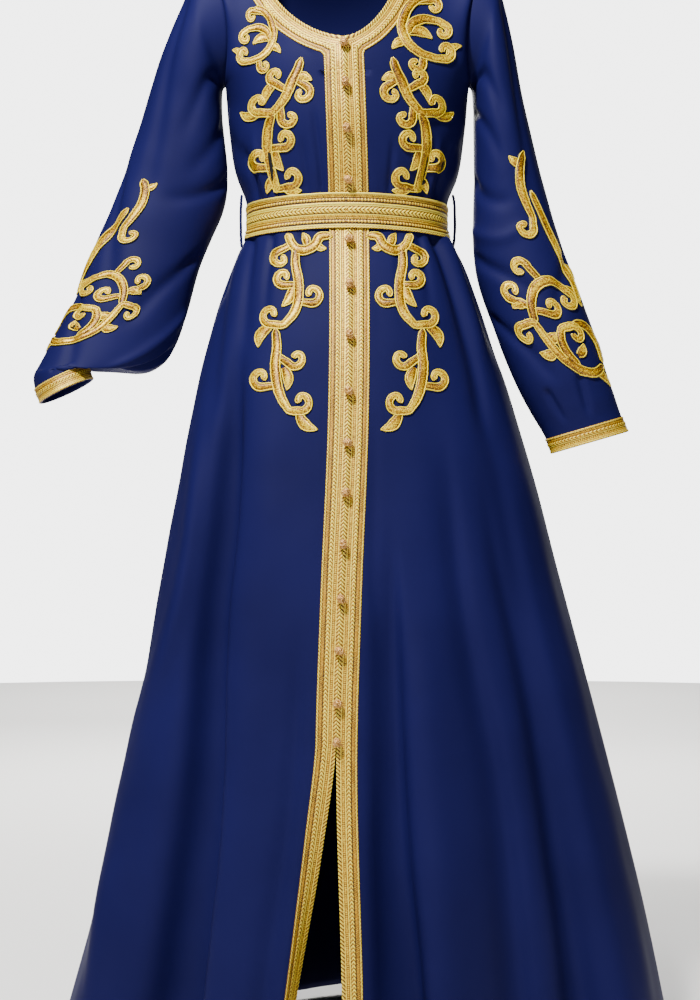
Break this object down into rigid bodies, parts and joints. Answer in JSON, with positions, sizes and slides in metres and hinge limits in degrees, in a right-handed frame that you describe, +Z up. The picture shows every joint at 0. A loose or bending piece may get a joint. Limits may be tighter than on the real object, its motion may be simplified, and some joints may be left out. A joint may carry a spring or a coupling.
{
  "type": "abaya",
  "caption": "Long blue worn abaya with a V neck, long sleeves, gold braid down the open front, braided belt, ball buttons and gold scroll embroidery.",
  "frame": {"origin": "midway between the shoulders, level with the top of the shoulder seams, where the wearer's shoulders hold the garment up", "axes": "+Z up; the front faces -Y; +X towards the wearer's left"},
  "size_m": [0.8632, 0.544, 1.5033],
  "materials": {
    "blue_crepe": "royal blue crepe with a soft satin face",
    "gold_braid": "woven braid of pale gold metallic thread",
    "gold_embroidery": "raised satin stitch in shaded gold thread",
    "copper_gold_thread": "knotted cord of coppery gold thread"
  },
  "bodies": {
    "root": {"back": "blue_crepe", "belt": "gold_braid", "belt_loop_left": "blue_crepe", "belt_loop_right": "blue_crepe", "bodice_scroll_left": "gold_embroidery", "bodice_scroll_right": "gold_embroidery", "button_01": "copper_gold_thread", "button_02": "copper_gold_thread", "button_03": "copper_gold_thread", "button_04": "copper_gold_thread", "button_05": "copper_gold_thread", "button_06": "copper_gold_thread", "button_07": "copper_gold_thread", "button_08": "copper_gold_thread", "button_09": "copper_gold_thread", "button_10": "copper_gold_thread", "button_11": "copper_gold_thread", "button_12": "copper_gold_thread", "button_13": "copper_gold_thread", "button_14": "copper_gold_thread", "button_15": "copper_gold_thread", "cuff_braid_left": "gold_braid", "cuff_braid_right": "gold_braid", "forearm_scroll_left": "gold_embroidery", "forearm_scroll_right": "gold_embroidery", "front_braid_left": "gold_braid", "front_braid_right": "gold_braid", "front_left": "blue_crepe", "front_right": "blue_crepe", "neck_braid_back": "gold_braid", "shoulder_scroll_left": "gold_embroidery", "shoulder_scroll_right": "gold_embroidery", "skirt_scroll_left": "gold_embroidery", "skirt_scroll_right": "gold_embroidery", "sleeve_left": "blue_crepe", "sleeve_right": "blue_crepe"}
  },
  "joints": []
}
